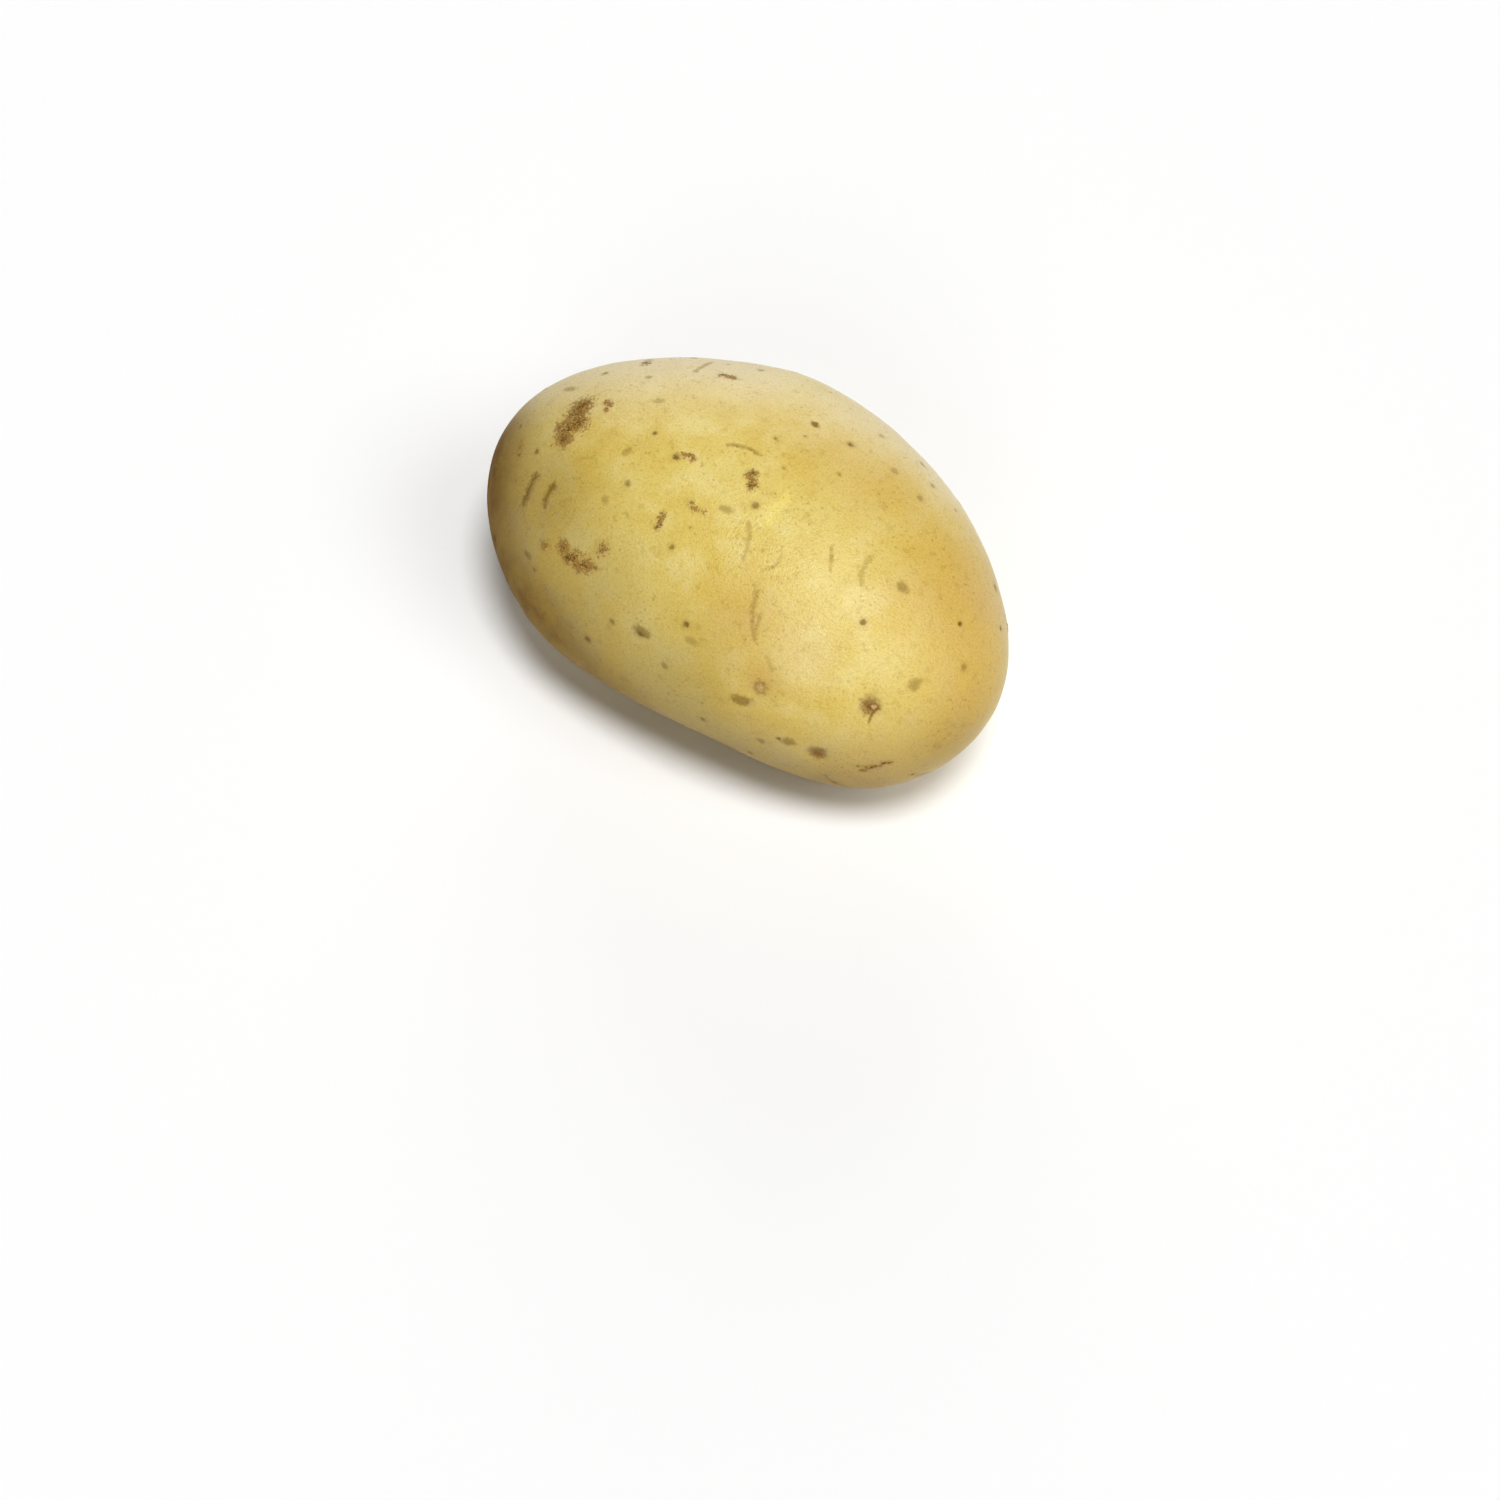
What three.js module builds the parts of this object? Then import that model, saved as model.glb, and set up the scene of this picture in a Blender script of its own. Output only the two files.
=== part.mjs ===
// A washed yellow table potato, lying on its belly: one solid, because a tuber grows as one piece.
//
// Millimetres, +Z up. The origin is on the table under the middle of the potato. +X runs along its
// length to the bud end, where most eyes sit, and -X to the stolon end, where it hung from the plant.
// -Y is the straighter side of its slight bow and +Y the fuller side.
import * as THREE from 'three';
import { mergeVertices } from 'three/addons/utils/BufferGeometryUtils.js';

// ---- Driving dimensions ----

const LENGTH = 90; // stolon end to bud end
const WIDTH = 57.5;
const HEIGHT = 48.5; // table to top
const BOW = 3; // how far the two ends stand back to -Y of the middle
const BLUNTNESS = 0.1; // how much thicker, as a share, the ends are than an ellipsoid's, seen from the side
const REST_PRESS = 0.6; // how far the belly is pressed in where it lies, which makes the flat spot

const EYE = { length: 5, width: 7, depth: 0.6, brow: 0.25 }; // length runs along the potato
const STOLON_SCAR = { length: 6.5, width: 6.5, depth: 1.2, brow: 0 };

const EDGE_CUTS = 15; // cuts across each edge of the icosahedron that the surface starts from
const SKIN_COLOUR = 0xd9bd6b;
const SKIN_ROUGHNESS = 0.5;

// Broad swellings of the body, and hollows where rise is negative. Each is felt along `towards`, which
// points from the middle, and has faded to a third at `spread` degrees from it. Rise is in millimetres.
const SWELLINGS = [
  { name: 'front shoulder', towards: [-0.46, -0.84, -0.29], spread: 22, rise: 2.3 },
  { name: 'front hip', towards: [0.67, -0.49, -0.55], spread: 22, rise: 1.9 },
  { name: 'full side', towards: [0, 0.87, 0.5], spread: 30, rise: 1.9 },
  { name: 'crown', towards: [-0.5, -0.1, 0.86], spread: 24, rise: 0.5 },
  { name: 'cheek by the bud end', towards: [0.85, 0.35, 0.4], spread: 18, rise: 0.4 },
  { name: 'hollow by the stolon', towards: [-0.8, 0.5, -0.3], spread: 18, rise: -0.8 },
  { name: 'far flank', towards: [0.55, 0.7, -0.45], spread: 20, rise: -0.7 },
  { name: 'back bulge', towards: [-0.2, 0.82, 0.54], spread: 12, rise: 0.4 },
  { name: 'back hollow', towards: [-0.42, 0.64, 0.66], spread: 9, rise: -0.35 },
  { name: 'back slope', towards: [0.22, 0.85, 0.48], spread: 14, rise: -0.35 },
  { name: 'far cheek', towards: [0.73, 0.64, 0.24], spread: 16, rise: -0.35 },
  { name: 'front foot', towards: [0.2, -0.86, -0.47], spread: 16, rise: -0.35 },
];

// Eyes wind round the potato and crowd towards the bud end. `along` is the station on the long axis
// in millimetres, and `around` the angle about it in degrees: 0 is up, 90 is +Y and -90 is -Y.
const EYES = [
  { along: 33, around: -60 },
  { along: 18, around: -68 },
  { along: 28, around: -89 },
  { along: 35, around: 88 },
  { along: 22, around: 124 },
  { along: 38, around: -150 },
  { along: 8, around: -142 },
  { along: 9, around: 98 },
  { along: -12, around: 158 },
  { along: -28, around: 92 },
  { along: -22, around: -125 },
];

const STOLON_TOWARDS = new THREE.Vector3(-1, 0.35, -0.2).normalize(); // from the middle to the scar

const LONG_AXIS = new THREE.Vector3(1, 0, 0);
const UP = new THREE.Vector3(0, 0, 1);

// 1 at the middle, fading smoothly to a third at `spread` and to nothing past twice that.
const bell = (distance, spread) => Math.exp(-((distance / spread) ** 2));

// ---- Shaping a mesh ----

// Moves every vertex of a geometry to where `change` takes it.
function reshape(geometry, change) {
  const position = geometry.getAttribute('position');
  for (let i = 0; i < position.count; i += 1) {
    const moved = change(new THREE.Vector3().fromBufferAttribute(position, i));
    position.setXYZ(i, moved.x, moved.y, moved.z);
  }
  return geometry;
}

// Brings a geometry's box to this size, with its middle at the origin.
function fitToSize(geometry, length, width, height) {
  geometry.center();
  geometry.computeBoundingBox();
  const size = geometry.boundingBox.getSize(new THREE.Vector3());
  return geometry.scale(length / size.x, width / size.y, height / size.z);
}

function unitSphere() {
  const sphere = new THREE.IcosahedronGeometry(1, EDGE_CUTS);
  sphere.deleteAttribute('normal');
  sphere.deleteAttribute('uv');
  return mergeVertices(sphere);
}

// ---- The body ----

function bodyPoint(direction) {
  const { x, y, z } = direction;
  const point = new THREE.Vector3(
    (x * LENGTH) / 2,
    (y * WIDTH) / 2 - BOW * x * x,
    ((z * HEIGHT) / 2) * (1 + BLUNTNESS * x * x),
  );
  for (const { towards, spread, rise } of SWELLINGS) {
    const angle = direction.angleTo(new THREE.Vector3(...towards));
    point.addScaledVector(direction, rise * bell(angle, THREE.MathUtils.degToRad(spread)));
  }
  return point;
}

// ---- Eyes and stolon scar ----

// Where a ray from the long axis meets the skin, with the skin's outward normal there.
function placeOnSkin(skin, along, outward) {
  const [hit] = new THREE.Raycaster(new THREE.Vector3(along, 0, 0), outward).intersectObject(skin);
  return { centre: hit.point, normal: hit.face.normal.clone() };
}

// A shallow oval dent. Its brow is a low fold on the side that `lengthwise` points away from.
function sinkDent(geometry, { centre, normal }, { length, width, depth, brow }, lengthwise) {
  const u = lengthwise.clone().projectOnPlane(normal).normalize();
  const v = new THREE.Vector3().crossVectors(normal, u);
  return reshape(geometry, (point) => {
    const offset = point.clone().sub(centre);
    if (offset.length() > length + width) return point;
    const lengths = offset.dot(u) / (length / 2);
    const widths = offset.dot(v) / (width / 2);
    const fold = brow * bell(Math.hypot((lengths + 1.3) / 0.6, widths), 1);
    const dent = depth * bell(Math.hypot(lengths, widths), 1);
    return point.addScaledVector(normal, fold - dent);
  });
}

function markSurface(geometry) {
  const skin = new THREE.Mesh(geometry.clone(), new THREE.MeshBasicMaterial({ side: THREE.DoubleSide }));
  for (const { along, around } of EYES) {
    const outward = UP.clone().applyAxisAngle(LONG_AXIS, -THREE.MathUtils.degToRad(around));
    sinkDent(geometry, placeOnSkin(skin, along, outward), EYE, LONG_AXIS);
  }
  return sinkDent(geometry, placeOnSkin(skin, 0, STOLON_TOWARDS), STOLON_SCAR, UP);
}

// ---- The potato ----

function potatoGeometry() {
  const unpressedHeight = HEIGHT + REST_PRESS;
  const surface = reshape(unitSphere(), bodyPoint);
  fitToSize(surface, LENGTH, WIDTH, unpressedHeight);
  markSurface(surface);
  fitToSize(surface, LENGTH, WIDTH, unpressedHeight);
  const table = REST_PRESS - unpressedHeight / 2;
  reshape(surface, (point) => point.setZ(Math.max(point.z, table) - table));
  surface.computeVertexNormals();
  return surface;
}

const potato = new THREE.Mesh(
  potatoGeometry(),
  new THREE.MeshStandardMaterial({ color: SKIN_COLOUR, roughness: SKIN_ROUGHNESS, metalness: 0 }),
);
potato.name = 'potato';

const part = new THREE.Group();
part.add(potato);

export default part;
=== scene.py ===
"""A washed yellow table potato, lying on a plain pale floor.

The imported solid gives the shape. Here its skin becomes a fine smooth mesh with the relief and the
marks of real skin: eyes with their buds, pores, russet patches, spots, scratches and a stolon scar.

Places on the skin are given as (along, around): the station on the long axis in millimetres, and
the angle about that axis in degrees, where 0 is up, 90 is +Y and -90 is -Y.
"""

import math
import random

import bmesh
import bpy
import numpy as np
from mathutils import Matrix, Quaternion, Vector, noise
from mathutils.bvhtree import BVHTree


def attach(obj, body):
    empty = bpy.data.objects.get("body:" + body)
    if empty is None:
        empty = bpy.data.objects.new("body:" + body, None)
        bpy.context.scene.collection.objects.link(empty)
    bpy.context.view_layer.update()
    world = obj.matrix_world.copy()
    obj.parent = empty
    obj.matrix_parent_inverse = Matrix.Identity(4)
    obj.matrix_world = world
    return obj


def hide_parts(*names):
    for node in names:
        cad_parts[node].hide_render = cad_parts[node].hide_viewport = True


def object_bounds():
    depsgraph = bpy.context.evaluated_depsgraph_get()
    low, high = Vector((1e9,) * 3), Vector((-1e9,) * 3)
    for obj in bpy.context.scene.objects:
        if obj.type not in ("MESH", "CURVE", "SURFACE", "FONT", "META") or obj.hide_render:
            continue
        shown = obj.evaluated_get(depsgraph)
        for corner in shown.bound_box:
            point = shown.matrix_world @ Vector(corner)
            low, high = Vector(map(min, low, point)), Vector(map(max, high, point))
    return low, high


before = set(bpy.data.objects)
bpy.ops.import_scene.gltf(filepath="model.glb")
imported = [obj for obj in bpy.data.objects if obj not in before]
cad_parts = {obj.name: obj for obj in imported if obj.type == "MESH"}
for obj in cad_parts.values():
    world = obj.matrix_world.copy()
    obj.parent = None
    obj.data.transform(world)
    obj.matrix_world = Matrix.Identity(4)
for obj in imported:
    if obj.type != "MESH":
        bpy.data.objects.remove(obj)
cad_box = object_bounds()

MM = 0.001
MIDDLE = (cad_box[0] + cad_box[1]) / 2

# ---- Marks on the skin ----

# Eyes: (along, around, width of the stain, width of the bud, how far along from the middle the bud
# is, how marked they are). Widths and distances are in mm.
EYES = [
    (33, -61, 4.0, 1.0, 0.5, 1.0), (18, -69, 3.2, 1.5, 0, 0.5), (28, -91, 3.8, 0.3, 0, 1.0),
    (35, 88, 3.0, 1.1, 0.3, 0.8), (22, 124, 3.4, 1.5, 0.4, 1.0), (38, -150, 3.0, 1.2, 0.3, 0.9),
    (8, -142, 2.8, 1.2, 0.2, 0.8), (9, 98, 3.0, 1.3, 0.3, 0.7), (-12, 158, 3.2, 1.4, 0, 0.8),
    (-28, 92, 2.8, 1.0, 0, 0.6), (-22, -125, 2.6, 1.0, 0, 0.6),
]

# From the middle of the potato to the scar of its stolon.
STOLON_TOWARDS = (-1, 0.35, -0.2)

# A turn below is from the long axis, as seen from outside. It is anticlockwise for spots, and
# clockwise for patches, scratches and rubbed lines, which `moved` lays out.

# Russet patches: (along, around, length, width, turn, darkness).
PATCHES = [
    (-29, -18, 10, 4, 85, 1.0), (-26, -5, 3, 1.5, 45, 0.8), (-17, -62, 8, 3, 0, 0.85),
    (-23, -67, 3, 3, 0, 0.5), (-13, -54, 3, 3, 0, 0.5), (1, -6, 4, 2, 60, 0.85),
    (-9, -10, 3, 1.5, 0, 0.8), (-7, -35, 3.5, 1.5, 75, 0.7), (-3, -25, 4, 1.5, 0, 0.4),
    (-28, 32, 3, 2, 60, 0.6), (-15, 35, 3.5, 2, 0, 0.7), (36, -95, 5, 1.5, -30, 0.8),
    (-36, -42, 4, 2, 60, 0.5),
]

# Soft-edged spots and stains: (along, around, length, width, turn, darkness).
SPOTS = [
    (16, -76, 3, 1.5, 10, 0.8), (24, -87, 2, 1.5, 0, 0.7), (2, 30, 1.5, 1, -15, 1.0),
    (-2, -70, 2.5, 1.5, 0, 0.8), (1, -20, 2, 1, 20, 0.6), (37, -44, 2, 1.5, 50, 0.6),
    (-35, 0, 2, 1, 0, 0.6), (6, -64, 2, 1, 0, 0.4), (-18, -20, 1.5, 1, 60, 0.5),
]

# Scratches: (along, around, length, turn, bend, width, darkness). A bend is how far, in mm, the
# middle stands off the straight line between the ends.
SCRATCHES = [
    (13, -46, 7, 65, 0.5, 1.0, 0.55), (14, -49, 3, 80, 0, 0.7, 0.5), (6, -26, 6, 65, -0.5, 0.8, 0.5),
    (11, -27, 4, 100, -1, 0.7, 0.35), (18, -15, 4, 60, 0, 0.65, 0.55), (23, -11, 5, 75, 0.4, 1.0, 0.45),
    (18, -59, 2, 50, 0, 0.9, 0.4), (-3, 3, 5, -15, -0.6, 0.8, 0.8), (-20, 39, 6, 85, 0, 0.9, 0.7),
    (34, -65, 2.5, 100, 0.3, 0.55, 1.0), (-30, -53, 4, 90, 0, 1.6, 1.0), (-26, -49, 3, 90, 0.2, 1.3, 0.9),
]

# Rubbed lines, where brighter flesh shows through: as the scratches.
RUBS = [(7, -10, 6, 90, 0, 2.2, 0.6), (-18, 127, 5, 70, 0, 1.4, 0.3)]

# Broad tints: (along, around, reach in mm, strength). Tan deepens the skin. The olive tints are painted
# shade, which darkens the left end and the underside towards green and brown, as shade would. The pale
# tints are partly a painted sheen along the top rim and partly dry skin with a whitish bloom.
TAN_TINTS = [
    (15, 26, 8, 0.6), (30, 15, 10, 0.5), (39, -5, 9, 0.6), (17.8, -65.5, 2.2, 1.2),
    (5, 20, 6, 0.3), (12, -49, 6, 0.75), (12, 130, 14, 0.6), (-25, 175, 12, 0.5),
    (30, -140, 12, 0.6), (44, -50, 8, 0.7), (36, -108, 10, 0.5), (37, 37, 8, 1.0),
    (35, -82, 7, 0.35), (20, -88, 6, 0.3),
]
# Painted shade: the left end and the underside darkened towards olive brown, where shade falls.
PAINTED_SHADE_TINTS = [
    (-43, -75, 9, 2.2), (-42, -98, 11, 3.0), (-30, -106, 10, 3.0), (-38, -66, 10, 0.5),
    (-25, -50, 8, 0.6), (-20, -98, 9, 1.5), (-8, -112, 11, 1.7), (12, -118, 12, 1.2),
    (30, -122, 11, 1.0), (43, -95, 8, 0.5), (6, -79, 9, 0.4), (-31, 0, 7, 0.1),
    (-11, -66, 9, 0.38), (-15, 120, 12, 0.4), (-38, 150, 12, 0.6),
]
# Partly a painted sheen along the top rim, where the skin would reflect the bright backdrop, and partly
# pale dry skin with a whitish bloom.
PAINTED_SHEEN_AND_BLOOM_TINTS = [
    (-28, 34, 9, 1.2), (-14, 44, 9, 1.4), (6, 52, 8, 1.4), (20, 64, 8, 1.2), (-36, 5, 6, 0.5),
    (38, 60, 8, 0.5), (22, -52, 5, 0.5), (-20, -140, 10, 0.3), (15, 165, 10, 0.4),
    (-41, 10, 6, 0.8), (-24, 4, 8, 0.25),
]

# The sides that face the camera and away from it, from one angle about the long axis to another.
SEEN = (-115, 62)
HIDDEN = (62, 248)

# The stations between which marks are scattered, and the ellipse that `girth` follows, in mm.
SCATTER_SPAN = (-41, 42)
GIRTH_AT_MIDDLE = 26
GIRTH_ENDS_AT = 47


def girth(along):
    """Roughly how far the skin is from the long axis at this station, in mm."""
    return GIRTH_AT_MIDDLE * math.sqrt(1 - (along / GIRTH_ENDS_AT) ** 2)


def moved(along, around, distance, turn):
    """The place this many mm away over the skin. The turn is clockwise as seen from outside."""
    step = distance * math.sin(math.radians(turn)) / girth(along)
    return along + distance * math.cos(math.radians(turn)), around - math.degrees(step)


def scatter(count, spacing, side, seed):
    """Random places on one side, at least `spacing` mm apart."""
    chance = random.Random(seed)
    places = []
    while len(places) < count:
        along = chance.uniform(*SCATTER_SPAN)
        around = chance.uniform(*side)
        if all(
            math.hypot(along - a, girth(along) * math.radians(around - b)) > spacing for a, b in places
        ):
            places.append((along, around))
    return places


def scattered_pores():
    """Each pore is (along, around, width, darkness)."""
    chance = random.Random(4)
    places = scatter(52, 4.5, HIDDEN, 3) + scatter(50, 4.5, SEEN, 5)
    return [(*place, chance.uniform(0.6, 1.2), chance.uniform(0.4, 0.95)) for place in places]


def scattered_patches():
    chance = random.Random(8)
    return [
        (*place, chance.uniform(1.5, 5), chance.uniform(1.2, 3), chance.uniform(0, 180),
         chance.uniform(0.5, 1))
        for place in scatter(9, 13, HIDDEN, 7)
    ]


def scattered_spots():
    chance = random.Random(12)
    return [
        (*place, chance.uniform(1.2, 2.6), chance.uniform(0.7, 1.3), chance.uniform(-60, 60),
         chance.uniform(0.3, 0.7))
        for place in scatter(14, 9, HIDDEN, 11) + scatter(9, 9, SEEN, 13)
    ]


def scattered_scratches():
    chance = random.Random(16)
    return [
        (*place, chance.uniform(2, 5), chance.uniform(45, 135), chance.uniform(-0.5, 0.5),
         chance.uniform(0.4, 0.8), chance.uniform(0.3, 0.7))
        for place in scatter(8, 12, HIDDEN, 15)
    ]


def patch_blobs(patches):
    """Round blobs, as (along, around, width, darkness), which fill each patch from end to end."""
    chance = random.Random(20)
    blobs = []
    for along, around, length, width, turn, darkness in patches:
        count = 1 + max(0, round((length - width) / (0.4 * width)))
        for i in range(count):
            share = i / (count - 1) - 0.5 if count > 1 else 0
            place = moved(along, around, share * (length - width), turn)
            place = moved(*place, chance.uniform(-0.2, 0.2) * width, turn + 90)
            blobs.append((*place, width * chance.uniform(0.75, 1.05), darkness))
    return blobs


def arc(along, around, length, turn, bend, width, darkness):
    """A scratch as (points along it, width, darkness)."""
    points = []
    for share in (-0.5, -0.2, 0.2, 0.5):
        place = moved(along, around, share * length, turn)
        points.append(moved(*place, bend * (1 - 4 * share**2), turn + 90))
    return points, width, darkness


# ---- The skin's mesh ----

CUTS = 4
RELAX_ROUNDS = 24
WELD_DISTANCE = 0.01 * MM
SCAR_WIDTH = 6
FLAT_FADE = 1.5 * MM  # the height above the table by which the relief has its full strength
FARTHEST = 4.0  # shares are cut off here


def relaxed(points, edges):
    """Moves every point halfway to the middle of its neighbours, again and again."""
    start, end = np.concatenate([edges, edges[:, ::-1]]).T
    neighbours = np.bincount(start)[:, None]
    for _ in range(RELAX_ROUNDS):
        total = np.stack([np.bincount(start, points[end, axis]) for axis in range(3)], 1)
        points = (points + total / neighbours) / 2
    return points


def fitted(points):
    """Scales points to fill the CAD box."""
    low, high = np.array(cad_box[0]), np.array(cad_box[1])
    least, most = points.min(0), points.max(0)
    return low + (points - least) * (high - low) / (most - least)


def bmesh_points(mesh):
    return np.array([vert.co for vert in mesh.verts])


def set_bmesh_points(mesh, points):
    for vert, point in zip(mesh.verts, points):
        vert.co = point
    mesh.normal_update()


def smooth_copy(node):
    """The CAD solid as a finer mesh, with its facets smoothed away."""
    mesh = bmesh.new()
    mesh.from_mesh(node.data)
    bmesh.ops.remove_doubles(mesh, verts=mesh.verts, dist=WELD_DISTANCE)
    bmesh.ops.subdivide_edges(mesh, edges=mesh.edges[:], cuts=CUTS, use_grid_fill=True)
    bmesh.ops.triangulate(mesh, faces=mesh.faces[:])
    mesh.verts.index_update()
    edges = np.array([[vert.index for vert in edge.verts] for edge in mesh.edges])
    set_bmesh_points(mesh, fitted(relaxed(bmesh_points(mesh), edges)))
    return mesh


class Ellipse:
    """An oval on the skin. Lengths are in mm and the turn in degrees."""

    def __init__(self, tree, along, around, length, width, turn=0):
        angle = math.radians(around)
        start = Vector((along * MM, MIDDLE.y, MIDDLE.z))
        self.centre, normal, _, _ = tree.ray_cast(start, Vector((0, math.sin(angle), math.cos(angle))))
        lengthwise = (Vector((1, 0, 0)) - normal.x * normal).normalized()
        lengthwise.rotate(Quaternion(normal, math.radians(turn)))
        self.normal = normal
        self.axes = np.array([lengthwise, normal.cross(lengthwise), normal])
        self.half = np.array([length, width, max(length, width)]) / 2 * MM

    def local(self, points):
        """Points in units of the oval's half length, half width and larger half size outwards."""
        return (points - np.array(self.centre)) @ self.axes.T / self.half

    def share(self, points):
        """0 at the middle, 1 on the rim."""
        return np.linalg.norm(self.local(points), axis=1)


def nearest(points, ovals, darkness):
    """The smallest share over the ovals, up to FARTHEST, and the darkness of the oval it is from."""
    share = np.full(len(points), FARTHEST)
    dark = np.zeros(len(points))
    for oval, value in zip(ovals, darkness):
        here = oval.share(points)
        closer = here < share
        share[closer] = here[closer]
        dark[closer] = value
    return share, dark


def path_field(points, tree, paths):
    """As nearest, for paths drawn on the skin: 0 on the path's line, 1 at its edge."""
    share = np.full(len(points), FARTHEST)
    dark = np.zeros(len(points))
    for path, width, value in paths:
        line = [np.array(Ellipse(tree, *place, 1, 1).centre) for place in path]
        for start, end in zip(line, line[1:]):
            run = end - start
            t = np.clip((points - start) @ run / (run @ run), 0, 1)
            here = np.linalg.norm(points - start - t[:, None] * run, axis=1) / (width / 2 * MM)
            closer = here < share
            share[closer] = here[closer]
            dark[closer] = value
    return share, dark


def tint(points, tree, places):
    """The strength of a broad tint, from 0 to 1."""
    total = np.zeros(len(points))
    for along, around, reach, strength in places:
        oval = Ellipse(tree, along, around, 2 * reach, 2 * reach)
        total += strength * np.exp(-oval.share(points) ** 2)
    return 1 - np.exp(-total)


def bell(share, spread=1):
    return np.exp(-((share / spread) ** 2))


def noise_field(points, size_mm, offset=0.0):
    """Smooth noise from -1 to 1 with features of this size."""
    scale = 1 / (size_mm * MM)
    return np.array([noise.noise(Vector(point) * scale + Vector((offset, 0, 0))) for point in points])


def build_skin():
    mesh = smooth_copy(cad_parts["potato"])
    tree = BVHTree.FromBMesh(mesh)

    pores = scattered_pores()
    patches = patch_blobs(PATCHES + scattered_patches())
    spots = SPOTS + scattered_spots()
    scratches = [arc(*scratch) for scratch in SCRATCHES + scattered_scratches()]
    pore_ovals = [Ellipse(tree, a, b, size, size) for a, b, size, _ in pores]
    patch_ovals = [Ellipse(tree, a, b, size, size) for a, b, size, _ in patches]
    spot_ovals = [Ellipse(tree, *place) for *place, _ in spots]
    eye_ovals = [Ellipse(tree, a, b, stain, stain) for a, b, stain, *_ in EYES]
    bud_ovals = [Ellipse(tree, a + off, b, bud, bud) for a, b, _, bud, off, _ in EYES]
    end = tree.ray_cast(MIDDLE, Vector(STOLON_TOWARDS))[0]
    scar_around = math.degrees(math.atan2(end.y, end.z - MIDDLE.z))
    scar = Ellipse(tree, end.x / MM, scar_around, SCAR_WIDTH, SCAR_WIDTH)

    # Cut the mesh once more around the marks, which need a finer surface.
    points = bmesh_points(mesh)
    scratch, _ = path_field(points, tree, scratches)
    detail = scratch / 2.5
    for ovals, margin in ((pore_ovals, 2.2), (patch_ovals, 1.5), (spot_ovals, 1.5), (eye_ovals, 1.4)):
        for oval in ovals:
            detail = np.minimum(detail, oval.share(points) / margin)
    chosen = [edge for edge in mesh.edges if all(detail[vert.index] < 1 for vert in edge.verts)]
    bmesh.ops.subdivide_edges(mesh, edges=chosen, cuts=1, use_grid_fill=True)
    bmesh.ops.triangulate(mesh, faces=[face for face in mesh.faces if len(face.verts) > 3])
    mesh.verts.index_update()
    mesh.normal_update()

    points = bmesh_points(mesh)
    normals = np.array([vert.normal for vert in mesh.verts])
    pore, pore_dark = nearest(points, pore_ovals, [dark for *_, dark in pores])
    patch, patch_dark = nearest(points, patch_ovals, [dark for *_, dark in patches])
    spot, spot_dark = nearest(points, spot_ovals, [dark for *_, dark in spots])
    eye, eye_mark = nearest(points, eye_ovals, [mark for *_, mark in EYES])
    bud, _ = nearest(points, bud_ovals, [1] * len(EYES))
    scratch, scratch_dark = path_field(points, tree, scratches)
    rub, rub_clear = path_field(points, tree, [arc(*rub) for rub in RUBS])
    around_scar = np.minimum(scar.share(points), FARTHEST)

    # Relief, in millimetres along the normal.
    rise = 0.16 * noise_field(points, 13) + 0.07 * noise_field(points, 4, 7)
    rise -= 0.1 * pore_dark * bell(pore, 0.8) - 0.03 * bell(pore - 1.4, 0.5)
    rough = noise_field(points, 0.7, 3)
    rise += (0.05 + 0.07 * rough) * bell(np.maximum(patch + 0.3 * rough - 0.4, 0), 0.5)
    rise -= 0.05 * scratch_dark * bell(scratch)
    rise += eye_mark * (0.22 * bell(bud, 0.9) - 0.2 * bell(eye - 0.5, 0.4))
    rise += 0.25 * bell(around_scar - 0.9, 0.25) - 0.35 * bell(around_scar, 0.6)
    rise += 0.12 * rough * bell(around_scar)

    flat = np.clip(points[:, 2] / FLAT_FADE, 0, 1)
    points = points + normals * (rise * flat * MM)[:, None]
    set_bmesh_points(mesh, fitted(points))

    data = bpy.data.meshes.new("potato_skin")
    mesh.to_mesh(data)
    mesh.free()
    data.shade_smooth()
    fields = {
        "pore": pore, "pore_dark": pore_dark, "patch": patch, "patch_dark": patch_dark,
        "spot": spot, "spot_dark": spot_dark, "eye": eye, "eye_mark": eye_mark, "bud": bud,
        "scratch": scratch, "scratch_dark": scratch_dark, "rub": rub, "rub_clear": rub_clear,
        "scar": around_scar, "tan": tint(points, tree, TAN_TINTS),
        "painted_shade": tint(points, tree, PAINTED_SHADE_TINTS), "painted_sheen_and_bloom": tint(points, tree, PAINTED_SHEEN_AND_BLOOM_TINTS),
    }
    for name, values in fields.items():
        attribute = data.attributes.new(name, "FLOAT", "POINT")
        attribute.data.foreach_set("value", np.minimum(values, FARTHEST).astype(np.float32))
    return bpy.data.objects.new("potato_skin", data)


# ---- The skin's material ----


def linear(hex_colour):
    """An sRGB colour such as 0xd9bd6b as linear RGBA."""
    channels = [(hex_colour >> shift & 255) / 255 for shift in (16, 8, 0)]
    return [c / 12.92 if c <= 0.04045 else ((c + 0.055) / 1.055) ** 2.4 for c in channels] + [1]


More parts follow.
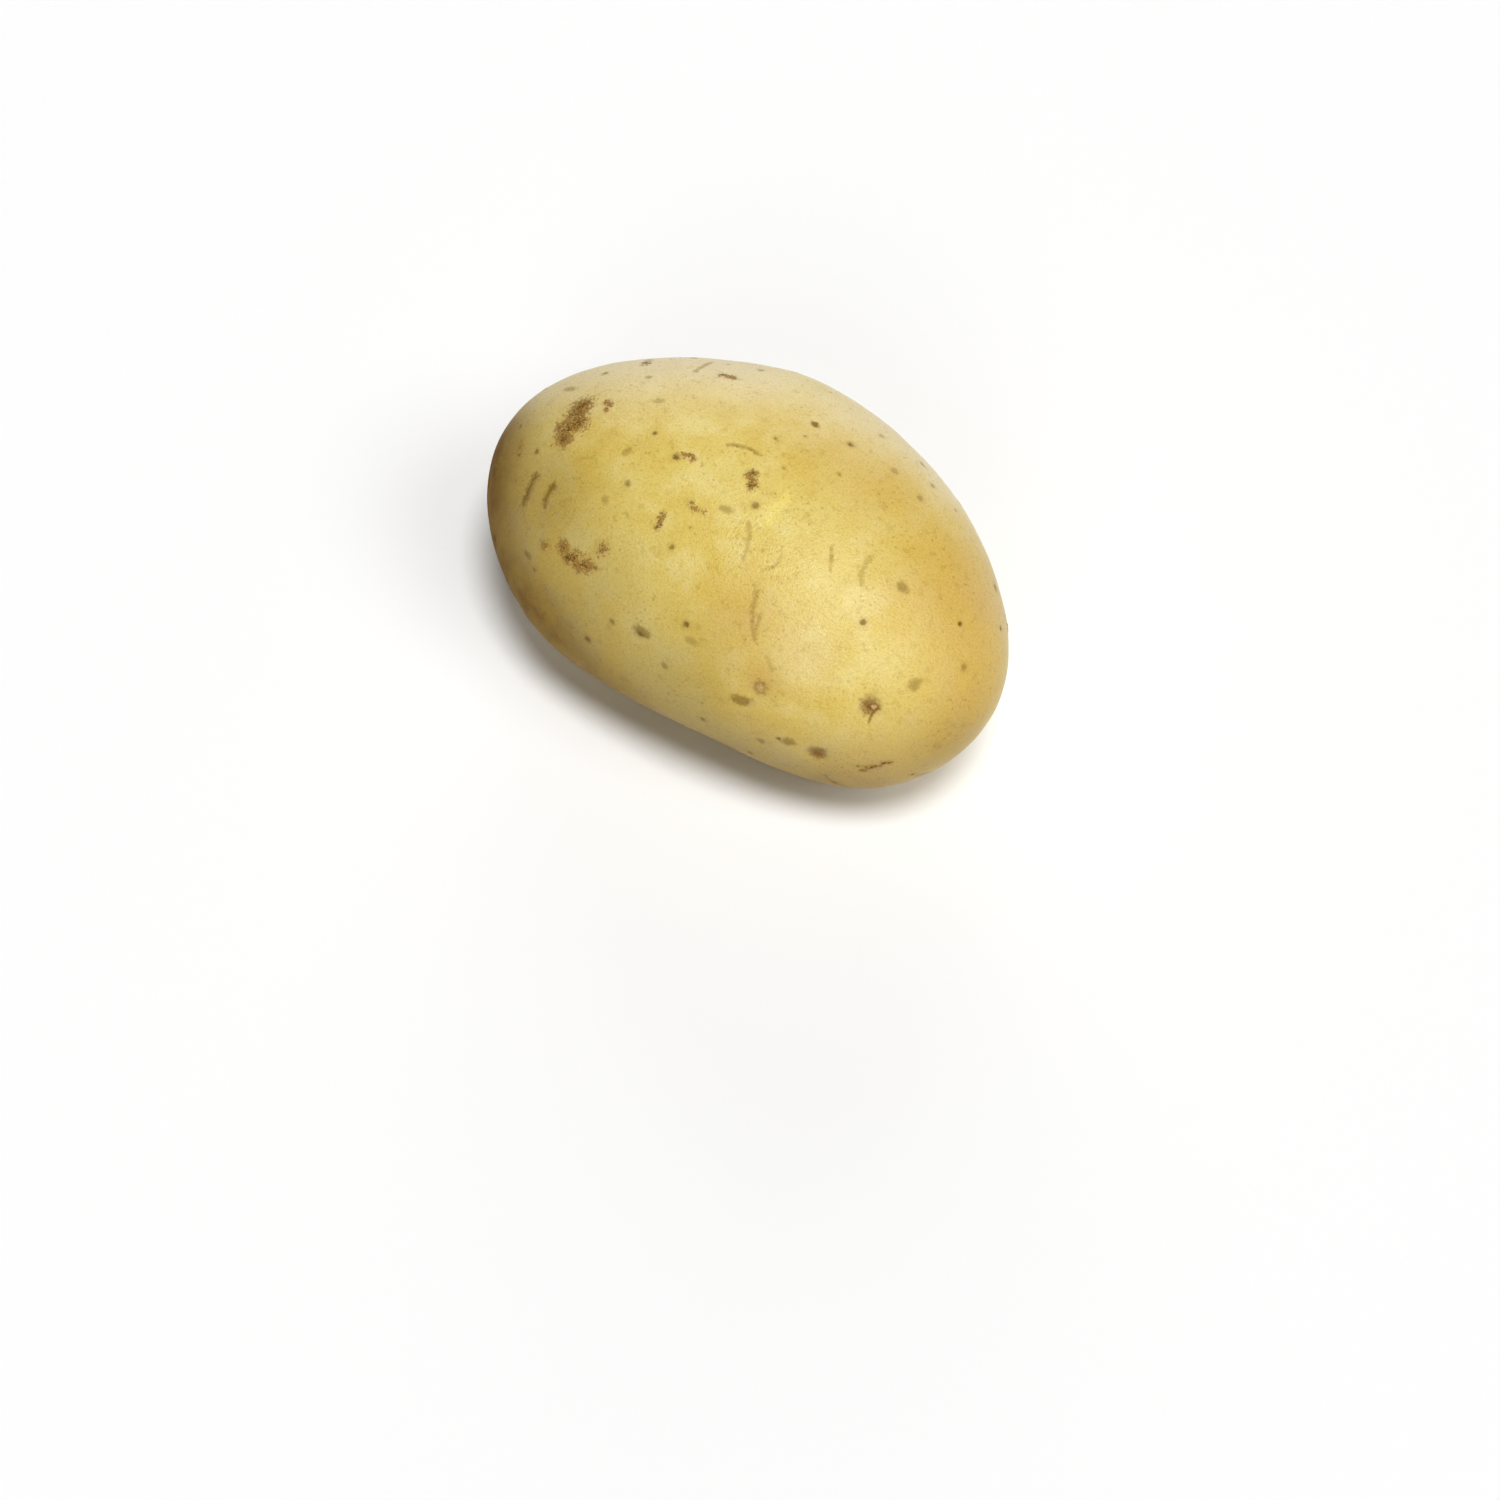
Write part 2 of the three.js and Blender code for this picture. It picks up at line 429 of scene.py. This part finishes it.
class Nodes:
    """Short names for making and joining shader nodes. A value is a socket or a constant."""

    def __init__(self, tree):
        self.tree = tree

    def add(self, kind, inputs=None, **settings):
        made = self.tree.nodes.new("ShaderNode" + kind)
        for name, value in settings.items():
            setattr(made, name, value)
        for name, value in (inputs or {}).items():
            self.set(made.inputs[name], value)
        return made

    def set(self, socket, value):
        if isinstance(value, bpy.types.NodeSocket):
            self.tree.links.new(value, socket)
        else:
            socket.default_value = value

    def field(self, name):
        return self.add("Attribute", attribute_name=name).outputs["Fac"]

    def math(self, operation, *values):
        return self.add("Math", dict(enumerate(values)), operation=operation).outputs[0]

    def fade(self, value, full, none, least=0.0, most=1.0):
        """`most` where value is at `full`, smoothly down to `least` at `none`."""
        made = self.add(
            "MapRange",
            {"Value": value, "From Min": full, "From Max": none, "To Min": most, "To Max": least},
            interpolation_type="SMOOTHSTEP",
        )
        return made.outputs[0]

    def mix(self, share, first, second, blend="MIX"):
        made = self.add("Mix", data_type="RGBA", blend_type=blend)
        for socket, value in ((0, share), (6, first), (7, second)):
            self.set(made.inputs[socket], value)
        return made.outputs[2]

    def shade(self, share, colour, red, green, blue):
        """colour, with its channels multiplied by these factors where share is 1."""
        return self.mix(share, colour, (red, green, blue, 1), "MULTIPLY")

    def noise(self, position, per_mm, detail=2.0, roughness=0.5, distortion=0.0):
        inputs = {
            "Vector": position, "Scale": per_mm, "Detail": detail, "Roughness": roughness,
            "Distortion": distortion,
        }
        return self.add("TexNoise", inputs).outputs["Fac"]

    def wobble(self, value, texture, amount):
        """value, moved by up to half of `amount` either way."""
        centred = self.math("SUBTRACT", texture, 0.5)
        return self.math("MULTIPLY_ADD", centred, amount, value)


def skin_material():
    material = bpy.data.materials.new("potato_skin")
    material.use_nodes = True
    material.node_tree.nodes.clear()
    n = Nodes(material.node_tree)

    object_position = n.add("TexCoord").outputs["Object"]
    position = n.add("VectorMath", {0: object_position, 3: 1 / MM}, operation="SCALE").outputs[0]
    broad = n.noise(position, 0.05, 2)
    cloud = n.noise(position, 0.2, 3, 0.6)
    mottle = n.noise(position, 0.6, 3, 0.6)
    ragged = n.noise(position, 1.3, 3, 0.6)
    strokes = n.noise(position, 2.0, 1.5, 0.5, 1.0)
    fine = n.noise(position, 3.0, 2, 0.65)
    grain = n.noise(position, 8, 1, 0.5)

    # Clean skin: yellow flesh showing through, cream where the skin is thicker.
    colour = n.mix(n.fade(broad, 0.62, 0.38), linear(0xdabf5d), linear(0xdfc971))
    colour = n.mix(n.fade(cloud, 0.66, 0.46, 0, 0.4), colour, linear(0xe8d893))
    colour = n.mix(n.fade(cloud, 0.3, 0.5, 0, 0.25), colour, linear(0xcfac50))
    tinge = n.math("MULTIPLY", n.fade(cloud, 0.7, 0.3, 0.75, 1.1), n.field("tan"))
    colour = n.mix(tinge, colour, linear(0xc79d49))
    # Painted shade: olive brown over the left end and the underside.
    painted_shade = n.math("MULTIPLY", n.fade(cloud, 0.65, 0.35, 0.85, 1.0), n.field("painted_shade"))
    colour = n.mix(painted_shade, colour, linear(0x78520c))
    # Painted sheen on the top rim, partly pale dry skin with a whitish bloom.
    colour = n.mix(n.field("painted_sheen_and_bloom"), colour, linear(0xe8d6a6))
    colour = n.shade(n.fade(mottle, 0.28, 0.46), colour, 0.88, 0.85, 0.76)
    rub_edge = n.wobble(n.wobble(n.field("rub"), ragged, 2.5), fine, 1.5)
    rub = n.math("MULTIPLY", n.fade(rub_edge, 0.0, 1.3), n.field("rub_clear"))
    colour = n.mix(rub, colour, linear(0xeeda70))

    # Flecks: a thin scatter of tiny brown specks, thicker in some areas than others.
    fleck = n.add("TexVoronoi", {"Vector": position, "Scale": 0.9}, feature="F1")
    speck_size = n.math("MULTIPLY", n.fade(n.noise(position, 0.12, 1), 0.65, 0.4, 0.0, 0.34), fine)
    speck = n.fade(n.math("SUBTRACT", fleck.outputs["Distance"], speck_size), -0.05, 0.12, 0, 0.35)
    colour = n.shade(speck, colour, 0.5, 0.4, 0.25)
    colour = n.shade(n.fade(fine, 0.72, 0.5), colour, 0.88, 0.83, 0.68)
    colour = n.shade(n.fade(fine, 0.28, 0.5), colour, 1.08, 1.08, 1.1)

    # Soft spots and scratches.
    spot_edge = n.wobble(n.wobble(n.field("spot"), ragged, 2.0), fine, 0.8)
    spot = n.math("MULTIPLY", n.fade(spot_edge, 0.6, 1.7), n.field("spot_dark"))
    colour = n.shade(spot, colour, 0.42, 0.33, 0.18)
    scratch_edge = n.wobble(n.field("scratch"), ragged, 3.0)
    scratch = n.math("MULTIPLY", n.fade(scratch_edge, 0.0, 1.5), n.field("scratch_dark"))
    colour = n.shade(scratch, colour, 0.52, 0.43, 0.28)

    # Pores: a soft dark dot in a faint ring of deeper skin.
    halo = n.math("MULTIPLY", n.fade(n.field("pore"), 0.9, 2.6, 0, 0.4), n.field("pore_dark"))
    colour = n.shade(halo, colour, 0.7, 0.6, 0.4)
    pore_edge = n.wobble(n.wobble(n.field("pore"), fine, 1.4), ragged, 1.6)
    pore = n.math("MULTIPLY", n.fade(pore_edge, 0.4, 1.3), n.field("pore_dark"))
    colour = n.mix(n.math("MULTIPLY", pore, 0.9), colour, linear(0x674a0a))

    # Russet patches: ragged clusters of dark strokes, sparser where they are less dark.
    sparseness = n.math("MULTIPLY_ADD", n.field("patch_dark"), -1.0, 1.0)
    patch_edge = n.wobble(n.wobble(n.field("patch"), strokes, 3.6), ragged, 1.6)
    patch_edge = n.math("MULTIPLY_ADD", sparseness, 0.9, patch_edge)
    patch = n.fade(patch_edge, 0.65, 1.1, 0, 0.92)
    shadow = n.math("MULTIPLY", n.fade(n.field("patch"), 0.5, 1.6, 0, 0.4), n.field("patch_dark"))
    russet = n.mix(n.fade(strokes, 0.56, 0.42), linear(0xa67e3e), linear(0x644212))
    colour = n.mix(shadow, colour, linear(0xa87e30))
    colour = n.mix(patch, colour, russet)

    # Eyes: a greyish brown stain round a pale bud.
    eye_edge = n.wobble(n.wobble(n.field("eye"), ragged, 1.0), fine, 0.9)
    stain = n.math("MULTIPLY", n.fade(eye_edge, 0.2, 1.15), n.field("eye_mark"))
    colour = n.mix(n.math("MULTIPLY", stain, 0.85), colour, linear(0x7c5222))
    bud_edge = n.wobble(n.wobble(n.field("bud"), ragged, 1.6), fine, 0.8)
    bud_rim = n.fade(n.math("ABSOLUTE", n.math("SUBTRACT", bud_edge, 1.1)), 0.1, 0.5, 0, 0.5)
    colour = n.mix(n.math("MULTIPLY", bud_rim, n.field("eye_mark")), colour, linear(0x7d5424))
    bud = n.math("MULTIPLY", n.fade(bud_edge, 0.4, 1.1), n.field("eye_mark"))
    colour = n.mix(n.math("MULTIPLY", bud, 0.8), colour, linear(0xd6b47c))
    scar_edge = n.wobble(n.field("scar"), ragged, 1.4)
    scar = n.fade(scar_edge, 0.4, 1.2, 0, 0.85)
    colour = n.mix(scar, colour, russet)

    # Rougher and less glossy on the marks, on the tan and over the painted shade.
    worn_and_shaded = n.math("MAXIMUM", n.math("MAXIMUM", patch, scar), n.math("MULTIPLY", pore, 0.7))
    soft_marks = n.math("MULTIPLY", n.math("MAXIMUM", n.math("MAXIMUM", spot, scratch), stain), 0.8)
    worn_and_shaded = n.math("MAXIMUM", n.math("MAXIMUM", worn_and_shaded, soft_marks), n.field("painted_shade"))
    worn_and_shaded = n.math("MAXIMUM", worn_and_shaded, n.math("MULTIPLY", n.field("tan"), 0.5))
    roughness = n.math("MULTIPLY_ADD", worn_and_shaded, 0.35, n.fade(mottle, 0.3, 0.7, 0.34, 0.27))
    specular = n.math("MULTIPLY_ADD", worn_and_shaded, -0.36, 0.4)

    height = n.math("MULTIPLY", grain, 0.02)
    height = n.math("MULTIPLY_ADD", fine, 0.11, height)
    height = n.math("MULTIPLY_ADD", ragged, 0.07, height)
    height = n.math("MULTIPLY_ADD", n.math("MULTIPLY", patch, strokes), 0.15, height)
    height = n.math("MULTIPLY_ADD", pore, -0.05, height)
    height = n.math("MULTIPLY_ADD", scratch, -0.04, height)
    bump = n.add("Bump", {"Height": height, "Distance": MM, "Strength": 1.0})

    shader = n.add("BsdfPrincipled", {
        "Base Color": colour,
        "Roughness": roughness,
        "IOR": 1.45,
        "Specular IOR Level": specular,
        "Subsurface Weight": 0.12,
        "Subsurface Radius": (1.0, 0.55, 0.2),
        "Subsurface Scale": 1.5 * MM,
        "Normal": bump.outputs["Normal"],
    })
    n.add("OutputMaterial", {"Surface": shader.outputs["BSDF"]})
    return material


skin = build_skin()
bpy.context.scene.collection.objects.link(skin)
skin.data.materials.append(skin_material())
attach(skin, "root")
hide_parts("potato")


# ---- Camera ----

CAMERA_AZIMUTH, CAMERA_ELEVATION = 35.5, 55
CAMERA_DISTANCE = 0.547
LENS_MM, SENSOR_MM = 85, 36
AIM_BELOW, AIM_LEFT = 0.0296, 0.0007


def direction(azimuth, elevation):
    """From the potato outwards. Azimuth 0 is towards -Y and 90 towards +X."""
    a, e = math.radians(azimuth), math.radians(elevation)
    return Vector((math.sin(a) * math.cos(e), -math.cos(a) * math.cos(e), math.sin(e)))


def look(thing, position, target):
    thing.location = position
    thing.rotation_euler = (target - position).to_track_quat("-Z", "Y").to_euler()
    bpy.context.scene.collection.objects.link(thing)


def make_camera():
    data = bpy.data.cameras.new("camera")
    data.lens = LENS_MM
    data.sensor_width = SENSOR_MM
    camera = bpy.data.objects.new("camera", data)
    back = direction(CAMERA_AZIMUTH, CAMERA_ELEVATION)
    right = Vector((0, 0, 1)).cross(back).normalized()
    up = back.cross(right)
    look(camera, MIDDLE + back * CAMERA_DISTANCE, MIDDLE - up * AIM_BELOW - right * AIM_LEFT)
    bpy.context.scene.camera = camera


make_camera()


# ---- Floor, lights and backdrop ----

FLOOR_HALF_WIDTH = 4
BACKDROP_STRENGTH = 0.95


def soft_light(name, azimuth, elevation, angle, strength):
    """A round light, `angle` degrees across, too far away to fall off over the floor."""
    data = bpy.data.lights.new(name, "SUN")
    data.angle = math.radians(angle)
    data.energy = strength
    look(bpy.data.objects.new(name, data), MIDDLE + direction(azimuth, elevation), MIDDLE)


def make_floor():
    mesh = bmesh.new()
    bmesh.ops.create_grid(mesh, x_segments=1, y_segments=1, size=FLOOR_HALF_WIDTH)
    data = bpy.data.meshes.new("floor")
    mesh.to_mesh(data)
    mesh.free()
    material = bpy.data.materials.new("floor")
    material.use_nodes = True
    shader = material.node_tree.nodes["Principled BSDF"]
    shader.inputs["Base Color"].default_value = (0.9, 0.9, 0.9, 1)
    shader.inputs["Roughness"].default_value = 0.8
    data.materials.append(material)
    floor = bpy.data.objects.new("floor", data)
    bpy.context.scene.collection.objects.link(floor)


def make_world():
    """A white backdrop, which casts no light of its own."""
    world = bpy.data.worlds.new("studio")
    world.use_nodes = True
    world.node_tree.nodes["Background"].inputs["Color"].default_value = (1, 1, 1, 1)
    world.node_tree.nodes["Background"].inputs["Strength"].default_value = BACKDROP_STRENGTH
    world.cycles_visibility.diffuse = False
    world.cycles_visibility.glossy = False
    bpy.context.scene.world = world


make_floor()
make_world()
soft_light("key", 58, 74, 18, 2.4)
soft_light("side", 90, 50, 28, 0.84)
soft_light("fill", 25, 35, 28, 0.5)
soft_light("back", 215, 15, 45, 0.88)
bpy.context.scene.view_settings.view_transform = "Standard"
